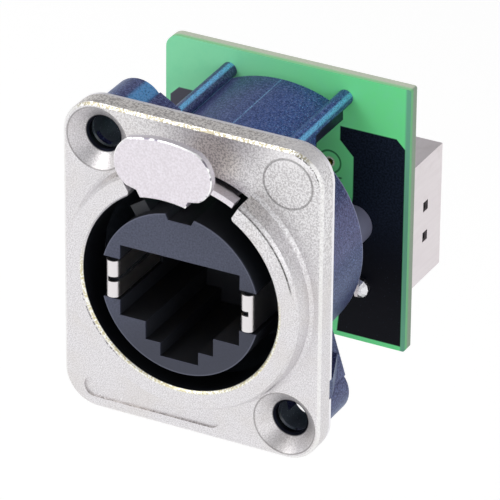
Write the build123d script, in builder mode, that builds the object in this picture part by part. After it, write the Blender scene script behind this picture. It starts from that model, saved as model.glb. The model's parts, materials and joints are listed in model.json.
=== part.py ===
"""A panel-mounted network socket that feeds through to a second socket behind it.

Frame: +Z is up and the front faces -Y. The origin lies on the axis of the round
opening, in the plane where the back of the flange meets the panel, so pieces in
front of the panel have negative y. All sizes are in millimetres.
"""

import os
from math import asin, cos, degrees, radians, sin, sqrt

from build123d import *

# Square flange, cast, with two countersunk screw holes on one diagonal
flange_width = 26.0
flange_height = 31.0
flange_thickness = 1.95
flange_corner = 3.4
flange_edge = 0.25
hole_span_x = 19.0
hole_span_z = 24.0
screw_bore = 3.2
countersink_diameter = 6.1

# Thin earthing sheet between the flange and the plastic housing
plate_thickness = 0.35

# Raised ring around the opening, with a gap at the top for the latch
opening_radius = 9.82
ring_radius = 11.5
ring_base_radius = 12.0
ring_height = 2.2
ring_edge = 0.15
ring_shoulder_width = 0.24
ring_shoulder_depth = 0.36
ring_foot = 0.3
gap_half_angle = 30.5
gap_corner_angle = 2.0
gap_corner_height = 0.35
slot_radius = 11.4

# Shallow bare field cast into the flange's face
field_depth = 0.2
long_field_length = 14.0
long_field_height = 2.1
long_field_x = -3.98
long_field_z = -13.4

# Plastic housing: a drum, a hood over the latch, two rails and two screw bosses
drum_front_radius = 11.6
drum_rear_radius = 11.2
drum_depth = 9.6
sleeve_radius = 9.95
sleeve_depth = 8.0
hood_half_width = 6.25
hood_front_radius = 12.2
hood_rear_radius = 12.6
hood_depth = 15.1
hood_wall = 1.0
hood_step = 0.7
hood_floor_z = 8.0
chamber_half_width = 5.3
rail_radius = 0.76
rail_x = 5.92
rail_front_z = 11.35
rail_rear_z = 11.7
hood_cut_half_width = 5.6
hood_cut_rib = 0.15
gusset_length = 3.1
gusset_half_thickness = 0.48
gusset_foot_z = 9.3
gusset_root_z = 10.3
gusset_tip_z = 11.0
gusset_top_z = 11.4
gusset_root_length = 0.25
boss_radius = 2.6
boss_depth = 5.5
web_half_width = 4.65
web_end_half_width = 2.8
web_start = 10.5
boss_windows = [(-1, 240.0, 1.7, 0.0, 0.7), (1, 187.0, 1.3, 1.4, 4.4), (1, 234.0, 1.2, 2.8, 5.0)]
lug_reach = 0.05
lug_height = 1.85
lug_z = 8.58
lug_inner_x = 9.6
lug_lip = 0.4
lug_rear_x = 11.3
lug_depth = 4.6
lug_clearance = 0.05
post_radius = 1.9
post_x = 7.0
post_z = -0.9
board_gap = 16.2
rail_end_trim = 1.0

# Front socket insert, flush with the ring
insert_radius = 7.95
insert_z = -0.3
key_floor_width = 2.3
key_top_width = 3.3
key_floor_z = 6.95
insert_rib_angle = 123.0
insert_rib_width = 1.7
insert_rib_root = 0.3
insert_rib_reach = 0.8
insert_rib_setback = 1.0
cavity_width = 12.05
cavity_top = 3.25
cavity_bottom = -3.88
cavity_depth = 11.7
first_step_width = 6.85
first_step_bottom = -5.68
second_step_width = 3.85
second_step_bottom = -7.0
rear_block_width = 9.9
rear_block_top = 1.0
rear_block_bottom = -5.5
rear_opening_margin = 0.2
rear_opening_top = 6.3
strip_height = 1.15

# Earthing springs that roll over the insert's side walls
spring_sheet = 0.2
spring_height = 3.65
spring_z = -0.27
spring_outer_x = 7.45
spring_inset = 0.09
spring_front_reach = 0.33
spring_slit = 0.5
spring_slit_length = 6.5
spring_inner_length = 7.5
spring_outer_length = 4.2
spring_pocket_margin = 0.25
spring_side_gap = 0.02

# Latch: finger tab, neck, cross bar, strap, hook and hub in one casting
pivot_y = 8.4
pivot_z = 10.0
tab_front = 7.75
tab_thickness = 0.72
tab_half_width = 4.86
tab_widest_z = 13.5
tab_top = 16.5
tab_top_depth = 0.5
tab_shoulder_x = 3.45
tab_heel_x = 3.6
tab_heel_z = 11.3
tab_foot_z = 11.05
tab_chamfer = 0.1
foot_half_width = 2.25
foot_top_half_width = 2.6
foot_radius = 10.65
neck_thickness = 0.85
bar_front = 3.8
bar_back = 2.6
bar_inner_radius = 10.48
bar_thickness = 0.57
bar_half_angle = 27.3
strap_inner_radius = 10.1
strap_thickness = 0.5
strap_half_width = 4.2
strap_overlap = 0.15
hub_half_width = 3.0
hub_radius = 0.98
hub_gap = 2.7
hub_neck_length = 3.2
hub_gap_margin = 0.45
heel_reach = 0.8
heel_width = 1.1
heel_gap = 0.05
hook_width = 3.8
hook_tip_radius = 9.4
hook_front = 0.6
hook_crest = 2.4
hook_back = 3.2
pin_diameter = 1.0
pin_clearance = 0.05
pin_length = 12.0
coil_wire = 0.3
coil_radius = 0.75
coil_turns = 2
coil_gap = 0.06
wire_sides = 4
spring_leg_front = 4.0
spring_leg_back = 1.3
spring_leg_slope = 0.5

# Contacts of both sockets: eight stamped strips
contact_count = 8
contact_pitch = 1.016
tail_pitch = 1.27
contact_width = 0.42
contact_thickness = 0.3
contact_slot = 0.56
front_tail_high = 4.8
front_tail_low = 2.26
front_tip_z = 0.8
front_tip_y = 4.6
front_bend_y = -1.6
front_slot_margin = 1.2
tail_stick_out = 0.7
finger_rise = 0.9
bend_cut = 0.3
jog_y = 8.9
rear_jog_start = 0.5
rear_jog_end = 20.5
rear_bend_y = 30.8
rear_tip_y = 24.6
rear_tip_z = -8.3
rear_pocket_top = -7.8
rear_slot_margin = 1.0
rear_pocket_floor = 0.4
rear_pocket_margin = 0.5
carrier_front = 10.9
carrier_back = 13.9
carrier_half_width = 5.1
carrier_top = 5.75

# Circuit board across the back
board_width = 25.0
board_height = 26.9
board_rise = 0.45
board_thickness = 1.2
board_left_corner = 1.3
board_right_corner = 0.25
pin_hole = 0.75
small_hole_sides = 8
leg_hole_sides = 12
peg_radius = 0.8
peg_shortfall = 0.1
peg_clearance = 0.05
leg_clearance = 0.05

# Rear socket: a folded screening box around a moulded body
jack_width = 16.0
jack_height = 12.75
jack_depth = 15.5
jack_bottom = -12.65
shield_sheet = 0.3
shield_lip = 1.0
window_size = 1.0
window_from_back = 3.4
window_high_z = -5.0
window_low_z = -8.2
leg_width = 1.2
leg_z = -7.3
leg_stick_out = 0.95
body_clearance = 0.05
rear_cavity_width = 11.9
rear_cavity_height = 6.7
rear_cavity_depth = 12.0
rear_step_width = 6.6
rear_step_height = 1.5
rear_notch_width = 3.8
rear_notch_height = 1.2
rear_cavity_floor = 2.35
rear_tail_near = -8.4
rear_tail_far = -10.94
rear_strip_z = -11.3
solder_height = 0.45
solder_radius = 0.62
solder_taper = 0.27
leg_solder_radius = 0.95
leg_solder_height = 0.84
leg_solder_taper = 0.45

# Values that follow from the sizes above
flange_back = -plate_thickness
flange_front = flange_back - flange_thickness
ring_front = flange_front - ring_height
half_x = flange_width / 2
screw_places = [(-hole_span_x / 2, hole_span_z / 2), (hole_span_x / 2, -hole_span_z / 2)]
board_front = board_gap
board_back = board_front + board_thickness
jack_back = board_back + jack_depth
jack_top = jack_bottom + jack_height
jack_mid_z = jack_bottom + jack_height / 2
cavity_end = ring_front + cavity_depth
contact_rows = [(i - (contact_count - 1) / 2) for i in range(contact_count)]


def facing_front(y):
    """The plane at depth y that looks at the front, with x to the right and z up."""
    return Plane.XZ.offset(-y)


def rise(radius, x):
    """The height of a circle about the axis, at a distance x from its middle."""
    return sqrt(radius**2 - x**2)


def arc_band(inner, outer, half_angle):
    """Adds the part of a ring about the axis that lies around the top."""
    start = radians(90 + half_angle)
    end = radians(90 - half_angle)
    with BuildLine() as outline:
        ThreePointArc(
            (outer * cos(start), outer * sin(start)), (0, outer), (outer * cos(end), outer * sin(end))
        )
        Line((outer * cos(end), outer * sin(end)), (inner * cos(end), inner * sin(end)))
        ThreePointArc(
            (inner * cos(end), inner * sin(end)), (0, inner), (inner * cos(start), inner * sin(start))
        )
        Line((inner * cos(start), inner * sin(start)), (outer * cos(start), outer * sin(start)))
    make_face(outline.edges())


def arched_block(half_width, bottom, radius):
    """Adds a block with upright sides under an arch that is part of a circle about the axis."""
    side = rise(radius, half_width)
    with BuildLine() as outline:
        Polyline((-half_width, side), (-half_width, bottom), (half_width, bottom), (half_width, side))
        ThreePointArc((half_width, side), (0, radius), (-half_width, side))
    make_face(outline.edges())


def gap_sector(radius):
    """Adds the wedge of the latch's gap, out to a radius, with its corners at the opening cut off."""
    turn = radians(gap_half_angle)
    wide = radians(gap_half_angle + gap_corner_angle)
    corner = opening_radius + gap_corner_height
    with BuildLine() as outline:
        Polyline(
            (-radius * sin(turn), radius * cos(turn)),
            (-corner * sin(turn), corner * cos(turn)),
            (-opening_radius * sin(wide), opening_radius * cos(wide)),
            (0, 0),
            (opening_radius * sin(wide), opening_radius * cos(wide)),
            (corner * sin(turn), corner * cos(turn)),
            (radius * sin(turn), radius * cos(turn)),
        )
        ThreePointArc(
            (radius * sin(turn), radius * cos(turn)), (0, radius), (-radius * sin(turn), radius * cos(turn))
        )
    make_face(outline.edges())


def strip_outline(path, thickness):
    """Adds the outline of a bent strip of even thickness along a path."""
    points = [Vector(*place) for place in path]
    sides = [(end - start).normalized().rotate(Axis.Z, 90) for start, end in zip(points, points[1:])]
    mitres = [sides[0]]
    for before, after in zip(sides, sides[1:]):
        middle = (before + after).normalized()
        mitres.append(middle / middle.dot(before))
    mitres.append(sides[-1])
    left = [point + mitre * (thickness / 2) for point, mitre in zip(points, mitres)]
    right = [point - mitre * (thickness / 2) for point, mitre in zip(points, mitres)]
    Polygon(*left, *reversed(right), align=None)


def socket_opening(width, top, bottom, step_width, step_end, notch_width, notch_end):
    """Adds the stepped opening of an eight-way socket, with the notch for the plug's latch."""
    Polygon(
        (-width / 2, top),
        (width / 2, top),
        (width / 2, bottom),
        (step_width / 2, bottom),
        (step_width / 2, step_end),
        (notch_width / 2, step_end),
        (notch_width / 2, notch_end),
        (-notch_width / 2, notch_end),
        (-notch_width / 2, step_end),
        (-step_width / 2, step_end),
        (-step_width / 2, bottom),
        (-width / 2, bottom),
        align=None,
    )


# Front flange
ring_line = [
    (opening_radius, flange_back),
    (opening_radius, ring_front + ring_edge),
    (opening_radius + ring_edge, ring_front),
    (ring_radius, ring_front),
    (ring_radius + ring_shoulder_width, ring_front + ring_shoulder_depth),
    (ring_base_radius, flange_front - ring_foot),
    (ring_base_radius + ring_foot, flange_front),
    (ring_base_radius + ring_foot, flange_back),
]

with BuildPart() as front_flange:
    with BuildSketch(facing_front(flange_back)):
        RectangleRounded(flange_width, flange_height, flange_corner)
    extrude(amount=flange_thickness)
    chamfer(front_flange.faces().sort_by(Axis.Y)[0].edges(), flange_edge)
    with BuildSketch(facing_front(flange_back)):
        Circle(ring_radius)
    extrude(amount=flange_thickness, mode=Mode.SUBTRACT)
    with BuildSketch(Plane.XY):
        Polygon(*ring_line, align=None)
    revolve(axis=Axis.Y)
    with BuildSketch(facing_front(flange_back)):
        gap_sector(slot_radius)
    extrude(amount=flange_thickness, mode=Mode.SUBTRACT)
    with BuildSketch(facing_front(flange_front)):
        gap_sector(ring_base_radius + 2 * ring_foot)
    extrude(amount=ring_height, mode=Mode.SUBTRACT)
    with Locations(facing_front(flange_front)):
        with Locations(*screw_places):
            CounterSinkHole(screw_bore / 2, countersink_diameter / 2, flange_thickness, 90)
    with BuildSketch(facing_front(flange_front)):
        with Locations((long_field_x, long_field_z)):
            SlotOverall(long_field_length, long_field_height)
    extrude(amount=-field_depth, mode=Mode.SUBTRACT)

# Earthing sheet
with BuildPart() as ground_plate:
    with BuildSketch(facing_front(0)):
        RectangleRounded(flange_width, flange_height, flange_corner)
        Circle(sleeve_radius, mode=Mode.SUBTRACT)
        with Locations(*screw_places):
            Circle(screw_bore / 2, mode=Mode.SUBTRACT)
        with Locations((-half_x, lug_z), (half_x, -lug_z)):
            Rectangle(
                2 * (half_x - lug_inner_x + lug_clearance),
                lug_height + 2 * lug_clearance,
                mode=Mode.SUBTRACT,
            )
    extrude(amount=plate_thickness)
    with BuildSketch(facing_front(0)):
        gap_sector(slot_radius)
    extrude(amount=plate_thickness, mode=Mode.SUBTRACT)

# Rear housing
boss_reach = sqrt(hole_span_x**2 + hole_span_z**2) / 2
boss_angle = degrees(asin(hole_span_z / 2 / boss_reach))
hood_cut_radius = hood_rear_radius - hood_wall - hood_cut_rib
hood_cut_z = rise(hood_cut_radius, hood_cut_half_width)
rail_length = board_front
rail_tilt = (rail_rear_z - rail_front_z) / rail_length

with BuildPart() as rear_housing:
    with BuildSketch(Plane.XY):
        with BuildLine():
            Polyline(
                (0, 0), (drum_front_radius, 0), (drum_rear_radius, drum_depth), (0, drum_depth), close=True
            )
        make_face()
    revolve(axis=Axis.Y)
    with BuildSketch(facing_front(0)):
        arched_block(hood_half_width, hood_floor_z, hood_front_radius)
    with BuildSketch(facing_front(hood_depth)):
        arched_block(hood_half_width, hood_floor_z, hood_rear_radius)
    loft()
    with BuildSketch(facing_front(boss_depth)):
        for turn in (180 - boss_angle, -boss_angle):
            with BuildLine():
                to_boss = Vector(boss_reach, 0).rotate(Axis.Z, turn)
                across = Vector(0, 1).rotate(Axis.Z, turn)
                from_drum = to_boss * (web_start / boss_reach)
                Polyline(
                    from_drum + across * web_half_width,
                    to_boss + across * web_end_half_width,
                    to_boss - across * web_end_half_width,
                    from_drum - across * web_half_width,
                    close=True,
                )
            make_face()
        with Locations(*screw_places):
            Circle(boss_radius)
    extrude(amount=boss_depth)
    with BuildSketch(facing_front(hood_depth)):
        with BuildLine():
            Polyline(
                (-hood_cut_half_width, hood_cut_z),
                (-insert_radius, hood_cut_z),
                (-insert_radius, 0),
                (insert_radius, 0),
                (insert_radius, hood_cut_z),
                (hood_cut_half_width, hood_cut_z),
            )
            ThreePointArc(
                (hood_cut_half_width, hood_cut_z), (0, hood_cut_radius), (-hood_cut_half_width, hood_cut_z)
            )
        make_face()
    extrude(amount=hood_depth - drum_depth, mode=Mode.SUBTRACT)
    with BuildSketch(facing_front(sleeve_depth)):
        Circle(sleeve_radius)
    extrude(amount=sleeve_depth, mode=Mode.SUBTRACT)
    with BuildSketch(facing_front(drum_depth)):
        arched_block(chamber_half_width, hood_floor_z, hood_front_radius - hood_step)
    extrude(amount=drum_depth, mode=Mode.SUBTRACT)
    with BuildSketch(facing_front(drum_depth)):
        with Locations((0, (rear_opening_top + rear_block_bottom - rear_opening_margin) / 2)):
            Rectangle(
                rear_block_width + 2 * rear_opening_margin,
                rear_opening_top - rear_block_bottom + rear_opening_margin,
            )
    extrude(amount=drum_depth - sleeve_depth, mode=Mode.SUBTRACT)
    for side in (-1, 1):
        with BuildSketch(Plane.YZ.offset(side * (hood_half_width - gusset_half_thickness))):
            Polygon(
                (drum_depth, gusset_foot_z),
                (drum_depth, gusset_top_z),
                (drum_depth + gusset_length, gusset_top_z),
                (drum_depth + gusset_length, gusset_tip_z),
                (drum_depth + gusset_root_length, gusset_root_z),
                (drum_depth + gusset_root_length, gusset_foot_z),
                align=None,
            )
        extrude(amount=gusset_half_thickness, both=True)
        with Locations(
            Plane(origin=(side * rail_x, 0, rail_front_z), z_dir=(0, 1, rail_tilt))
        ):
            Cylinder(rail_radius, rail_length, align=(Align.CENTER, Align.CENTER, Align.MIN))
        with Locations(Plane(origin=(side * post_x, drum_depth, post_z), z_dir=(0, 1, 0))):
            Cylinder(post_radius, board_front - drum_depth, align=(Align.CENTER, Align.CENTER, Align.MIN))
    with BuildSketch(facing_front(board_front + rail_end_trim)):
        Rectangle(flange_width, flange_height)
    extrude(amount=rail_end_trim, mode=Mode.SUBTRACT)
    with BuildSketch(facing_front(0)):
        Rectangle(flange_width, flange_height)
    extrude(amount=rail_end_trim, mode=Mode.SUBTRACT)
    for side in (-1, 1):
        with BuildSketch(Plane.XY.offset(-side * lug_z)):
            Polygon(
                (side * lug_inner_x, -plate_thickness),
                (side * (half_x - lug_reach), -plate_thickness),
                (side * (half_x - lug_reach), lug_lip),
                (side * lug_rear_x, lug_depth),
                (side * lug_inner_x, lug_depth),
                align=None,
            )
        extrude(amount=lug_height / 2, both=True)
    for side in (-1, 1):
        with Locations(Plane(origin=(side * post_x, board_front, post_z), z_dir=(0, 1, 0))):
            Cylinder(
                peg_radius, board_thickness - peg_shortfall, align=(Align.CENTER, Align.CENTER, Align.MIN)
            )
    with BuildSketch(facing_front(boss_depth)):
        with Locations(*screw_places):
            Circle(screw_bore / 2)
    extrude(amount=boss_depth, mode=Mode.SUBTRACT)
    for side, turn, width, start, end in boss_windows:
        with BuildSketch(facing_front(end)):
            with Locations(Location((side * hole_span_x / 2, -side * hole_span_z / 2, 0), (0, 0, turn))):
                Rectangle(2 * boss_radius, width, align=(Align.MIN, Align.CENTER))
        extrude(amount=end - start, mode=Mode.SUBTRACT)
    with Locations(Plane(origin=(0, pivot_y, pivot_z), z_dir=(1, 0, 0))):
        Cylinder(pin_diameter / 2, pin_length, mode=Mode.SUBTRACT)

# Front socket insert
front_strip_z = cavity_top + strip_height
front_slot_top = front_strip_z + contact_thickness / 2
spring_side_x = cavity_width / 2 + spring_inset + spring_sheet / 2
spring_roll = (spring_outer_x - spring_sheet / 2 - spring_side_x) / 2
spring_roll_y = ring_front - spring_front_reach + spring_sheet / 2 + spring_roll
pocket_height = spring_height + 2 * spring_pocket_margin
inner_pocket_x = spring_side_x + spring_sheet / 2 + spring_side_gap
outer_pocket_x = spring_outer_x - spring_sheet - spring_side_gap

with BuildPart() as jack_insert:
    with BuildSketch(facing_front(sleeve_depth)):
        with Locations((0, insert_z)):
            Circle(insert_radius)
        Polygon(
            (-key_floor_width / 2, key_floor_z),
            (key_floor_width / 2, key_floor_z),
            (key_top_width / 2, insert_radius),
            (-key_top_width / 2, insert_radius),
            align=None,
            mode=Mode.SUBTRACT,
        )
    extrude(amount=sleeve_depth - ring_front)
    with BuildSketch(facing_front(sleeve_depth)):
        with Locations(Rot(0, 0, insert_rib_angle)):
            with Locations((insert_radius - insert_rib_root, 0)):
                Rectangle(
                    insert_rib_root + insert_rib_reach, insert_rib_width, align=(Align.MIN, Align.CENTER)
                )
    extrude(amount=sleeve_depth - ring_front - insert_rib_setback)
    with BuildSketch(facing_front(board_front)):
        with Locations((0, (rear_block_top + rear_block_bottom) / 2)):
            Rectangle(rear_block_width, rear_block_top - rear_block_bottom)
    extrude(amount=board_front - sleeve_depth)
    with BuildSketch(facing_front(cavity_end)):
        socket_opening(
            cavity_width,
            cavity_top,
            cavity_bottom,
            first_step_width,
            first_step_bottom,
            second_step_width,
            second_step_bottom,
        )
    extrude(amount=cavity_depth, mode=Mode.SUBTRACT)
    with BuildSketch(facing_front(sleeve_depth)):
        for row in contact_rows:
            with Locations((row * contact_pitch, cavity_top)):
                Rectangle(contact_slot, front_slot_top - cavity_top, align=(Align.CENTER, Align.MIN))
    extrude(amount=sleeve_depth - front_bend_y + front_slot_margin, mode=Mode.SUBTRACT)
    with BuildSketch(facing_front(spring_roll_y)):
        with Locations((0, spring_z)):
            Rectangle(2 * insert_radius, pocket_height)
    extrude(amount=spring_roll_y - ring_front, mode=Mode.SUBTRACT)
    with BuildSketch(facing_front(spring_roll_y + spring_outer_length + spring_pocket_margin)):
        for side in (-1, 1):
            with Locations((side * (outer_pocket_x + insert_radius / 2), spring_z)):
                Rectangle(insert_radius, pocket_height)
    extrude(amount=spring_outer_length + spring_pocket_margin, mode=Mode.SUBTRACT)
    with BuildSketch(facing_front(spring_roll_y + spring_inner_length + spring_pocket_margin)):
        with Locations((0, spring_z)):
            Rectangle(2 * inner_pocket_x, pocket_height)
    extrude(amount=spring_inner_length + spring_pocket_margin, mode=Mode.SUBTRACT)

# Earthing springs, rolled over the insert's side walls
shield_springs = []
for name, side in (("left", -1), ("right", 1)):
    with BuildPart() as shield_spring:
        with BuildSketch(Plane.XY.offset(spring_z)):
            with BuildLine():
                inner_x = side * spring_side_x
                outer_x = side * (spring_side_x + 2 * spring_roll)
                Line((inner_x, spring_roll_y + spring_inner_length), (inner_x, spring_roll_y))
                ThreePointArc(
                    (inner_x, spring_roll_y),
                    ((inner_x + outer_x) / 2, spring_roll_y - spring_roll),
                    (outer_x, spring_roll_y),
                )
                Line((outer_x, spring_roll_y), (outer_x, spring_roll_y + spring_outer_length))
            trace(line_width=spring_sheet)
        extrude(amount=spring_height / 2, both=True)
        with Locations((side * (spring_side_x + spring_roll / 2), ring_front, spring_z)):
            Box(2 * spring_roll, 2 * spring_slit_length, spring_slit, mode=Mode.SUBTRACT)
    shield_spring.part.label = f"shield_spring_{name}"
    shield_springs.append(shield_spring.part)

# Latch casting
foot_z = rise(foot_radius, foot_half_width)
tab_shoulder_z = tab_top - tab_top_depth

with BuildPart() as latch_lever:
    with BuildSketch(facing_front(-tab_front + tab_thickness)):
        with BuildLine():
            SagittaArc((-tab_shoulder_x, tab_shoulder_z), (tab_shoulder_x, tab_shoulder_z), tab_top_depth)
            for side in (-1, 1):
                widest = (side * tab_half_width, tab_widest_z)
                TangentArc(widest, (side * tab_shoulder_x, tab_shoulder_z), tangent=(0, 1))
                TangentArc(widest, (side * tab_heel_x, tab_heel_z), tangent=(0, -1))
                Polyline(
                    (side * tab_heel_x, tab_heel_z),
                    (side * foot_top_half_width, tab_foot_z),
                    (side * foot_half_width, foot_z),
                )
            ThreePointArc((foot_half_width, foot_z), (0, foot_radius), (-foot_half_width, foot_z))
        make_face()
    extrude(amount=tab_thickness)
    chamfer(latch_lever.faces().sort_by(Axis.Y)[0].edges(), tab_chamfer)
    with BuildSketch(facing_front(-bar_front)):
        arc_band(foot_radius, foot_radius + neck_thickness, degrees(asin(foot_half_width / foot_radius)))
    extrude(amount=tab_front - tab_thickness - bar_front)
    with BuildSketch(facing_front(-bar_back)):
        arc_band(bar_inner_radius, bar_inner_radius + bar_thickness, bar_half_angle)
    extrude(amount=bar_front - bar_back)
    with BuildSketch(facing_front(pivot_y)):
        arc_band(
            strap_inner_radius,
            strap_inner_radius + strap_thickness,
            degrees(asin(strap_half_width / strap_inner_radius)),
        )
    extrude(amount=pivot_y + bar_back + strap_overlap)
    with BuildSketch(Plane.YZ):
        Polygon(
            (hook_front, strap_inner_radius + strap_thickness / 2),
            (hook_crest, hook_tip_radius),
            (hook_back, hook_tip_radius),
            (hook_back, strap_inner_radius + strap_thickness / 2),
            align=None,
        )
    extrude(amount=hook_width / 2, both=True)
    for side in (-1, 1):
        with Locations((side * (hub_half_width + strap_half_width / 2), pivot_y, strap_inner_radius)):
            Box(strap_half_width, 2 * hub_neck_length, 2 * hub_gap, mode=Mode.SUBTRACT)
    with Locations(Plane(origin=(0, pivot_y, pivot_z), z_dir=(1, 0, 0))):
        Cylinder(hub_radius, 2 * hub_half_width)
    with BuildSketch(facing_front(pivot_y + heel_reach)):
        arched_block(hub_half_width, pivot_z, hood_front_radius - hood_step - heel_gap)
    extrude(amount=heel_width)
    with Locations((0, pivot_y, pivot_z + hub_gap / 2)):
        Box(hub_gap, 2 * (hub_radius + hub_gap_margin), 2 * hub_gap, mode=Mode.SUBTRACT)
    with Locations(Plane(origin=(0, pivot_y, pivot_z), z_dir=(1, 0, 0))):
        Cylinder(pin_diameter / 2 + pin_clearance, pin_length, mode=Mode.SUBTRACT)

with BuildPart() as latch_pin:
    with Locations(Plane(origin=(0, pivot_y, pivot_z), z_dir=(1, 0, 0))):
        Cylinder(pin_diameter / 2, pin_length)

coil_pitch = coil_wire + coil_gap
coil_length = coil_pitch * coil_turns
coil_helix = Helix(
    coil_pitch, coil_length, coil_radius, center=(-coil_length / 2, pivot_y, pivot_z), direction=(1, 0, 0)
)

with BuildPart() as latch_spring:
    with BuildSketch(Plane(origin=coil_helix @ 0, z_dir=coil_helix % 0)):
        RegularPolygon(coil_wire / 2, wire_sides)
    sweep(path=coil_helix)
    with BuildSketch(Plane(origin=coil_helix @ 1, z_dir=(0, -1, 0))):
        RegularPolygon(coil_wire / 2, wire_sides)
    extrude(amount=spring_leg_front)
    with BuildSketch(Plane(origin=coil_helix @ 0, z_dir=(0, 1, spring_leg_slope))):
        RegularPolygon(coil_wire / 2, wire_sides)
    extrude(amount=spring_leg_back)

# Contacts of the front socket, from the spring finger to the tail behind the board
front_tails = [
    (row * tail_pitch, front_tail_high if i % 2 else front_tail_low) for i, row in enumerate(contact_rows)
]
front_finger = [
    (jog_y, front_strip_z),
    (front_bend_y + bend_cut, front_strip_z),
    (front_bend_y, front_strip_z - bend_cut),
    (front_bend_y, front_strip_z - finger_rise + bend_cut),
    (front_bend_y + bend_cut, front_strip_z - finger_rise - bend_cut / 2),
    (front_tip_y, front_tip_z),
]
front_contacts = []
for i, row in enumerate(contact_rows):
    tail_x, tail_z = front_tails[i]
    with BuildPart() as front_contact:
        with BuildSketch(Plane.YZ.offset(row * contact_pitch)):
            strip_outline(front_finger, contact_thickness)
        extrude(amount=contact_width / 2, both=True)
        with BuildSketch(facing_front(jog_y)):
            with Locations((row * contact_pitch, front_strip_z)):
                Rectangle(contact_width, contact_thickness)
        with BuildSketch(facing_front(carrier_front)):
            with Locations((tail_x, tail_z)):
                Rectangle(contact_width, contact_thickness)
        loft()
        with BuildSketch(facing_front(board_back + tail_stick_out)):
            with Locations((tail_x, tail_z)):
                Rectangle(contact_width, contact_thickness)
        extrude(amount=board_back + tail_stick_out - carrier_front)
    front_contact.part.label = f"front_contact_{i + 1}"
    front_contacts.append(front_contact.part)

with BuildPart() as contact_carrier:
    with BuildSketch(facing_front(carrier_back)):
        with Locations((0, (rear_block_top + carrier_top) / 2)):
            Rectangle(2 * carrier_half_width, carrier_top - rear_block_top)
        with Locations(*front_tails):
            Rectangle(contact_width, contact_thickness, mode=Mode.SUBTRACT)
    extrude(amount=carrier_back - carrier_front)

# Contacts of the rear socket, from the tail in front of the board to the spring finger
rear_floor = jack_bottom + rear_cavity_floor
rear_cavity_end = jack_back - rear_cavity_depth
rear_tails = [
    (row * tail_pitch, rear_tail_near if i % 2 else rear_tail_far) for i, row in enumerate(contact_rows)
]
rear_finger = [
    (rear_jog_end, rear_strip_z),
    (rear_bend_y - bend_cut, rear_strip_z),
    (rear_bend_y, rear_strip_z + bend_cut),
    (rear_bend_y, rear_strip_z + finger_rise - bend_cut),
    (rear_bend_y - bend_cut, rear_strip_z + finger_rise + bend_cut / 2),
    (rear_tip_y, rear_tip_z),
]
rear_contacts = []
for i, row in enumerate(contact_rows):
    tail_x, tail_z = rear_tails[i]
    with BuildPart() as rear_contact:
        with BuildSketch(Plane.YZ.offset(row * contact_pitch)):
            strip_outline(rear_finger, contact_thickness)
        extrude(amount=contact_width / 2, both=True)
        with BuildSketch(facing_front(rear_jog_end)):
            with Locations((row * contact_pitch, rear_strip_z)):
                Rectangle(contact_width, contact_thickness)
        with BuildSketch(facing_front(board_back + rear_jog_start)):
            with Locations((tail_x, tail_z)):
                Rectangle(contact_width, contact_thickness)
        loft()
        with BuildSketch(facing_front(board_back + rear_jog_start)):
            with Locations((tail_x, tail_z)):
                Rectangle(contact_width, contact_thickness)
        extrude(amount=board_thickness + rear_jog_start + tail_stick_out)
    rear_contact.part.label = f"rear_contact_{i + 1}"
    rear_contacts.append(rear_contact.part)

# Circuit board
peg_places = [(-post_x, post_z), (post_x, post_z)]
leg_x = jack_width / 2 - shield_sheet / 2
leg_places = [(-leg_x, leg_z), (leg_x, leg_z)]

with BuildPart() as circuit_board:
    with BuildSketch(facing_front(board_back)) as board_outline:
        with Locations((0, board_rise)):
            Rectangle(board_width, board_height)
        left_corners = board_outline.vertices().group_by(Axis.X)[0]
        fillet(left_corners, board_left_corner)
        right_corners = board_outline.vertices().group_by(Axis.X)[-1]
        fillet(right_corners, board_right_corner)
        with Locations(*front_tails, *rear_tails):
            RegularPolygon(pin_hole / 2, small_hole_sides, mode=Mode.SUBTRACT)
        with Locations(*leg_places):
            RegularPolygon(leg_width / 2 + leg_clearance, leg_hole_sides, mode=Mode.SUBTRACT)
        with Locations(*peg_places):
            Circle(peg_radius + peg_clearance, mode=Mode.SUBTRACT)
    extrude(amount=board_thickness)

# Rear socket
body_half_width = jack_width / 2 - shield_sheet - body_clearance
body_bottom = jack_bottom + shield_sheet + body_clearance
body_top = jack_top - shield_sheet - body_clearance
body_back = jack_back - shield_sheet - body_clearance
rear_opening_x = rear_cavity_width / 2 + shield_lip / 2

with BuildPart() as rear_jack_shield:
    with BuildSketch(facing_front(jack_back)):
        with Locations((0, jack_mid_z)):
            Rectangle(jack_width, jack_height)
    extrude(amount=jack_depth)
    with BuildSketch(facing_front(jack_back - shield_sheet)):
        with Locations((0, jack_mid_z)):
            Rectangle(jack_width - 2 * shield_sheet, jack_height - 2 * shield_sheet)
    extrude(amount=jack_depth - shield_sheet, mode=Mode.SUBTRACT)
    with BuildSketch(facing_front(jack_back)):
        Polygon(
            (-rear_opening_x, rear_floor - shield_lip / 2),
            (rear_opening_x, rear_floor - shield_lip / 2),
            (rear_opening_x, jack_top - shield_lip),
            (-rear_opening_x, jack_top - shield_lip),
            align=None,
        )
    extrude(amount=shield_sheet, mode=Mode.SUBTRACT)
    with BuildSketch(Plane.YZ.offset(-jack_width)):
        with Locations(
            (jack_back - window_from_back, window_high_z), (jack_back - window_from_back, window_low_z)
        ):
            Rectangle(window_size, window_size)
    extrude(amount=2 * jack_width, mode=Mode.SUBTRACT)
    with BuildSketch(facing_front(board_back)):
        with Locations(*leg_places):
            Rectangle(shield_sheet, leg_width)
    extrude(amount=board_thickness + leg_stick_out)

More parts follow.
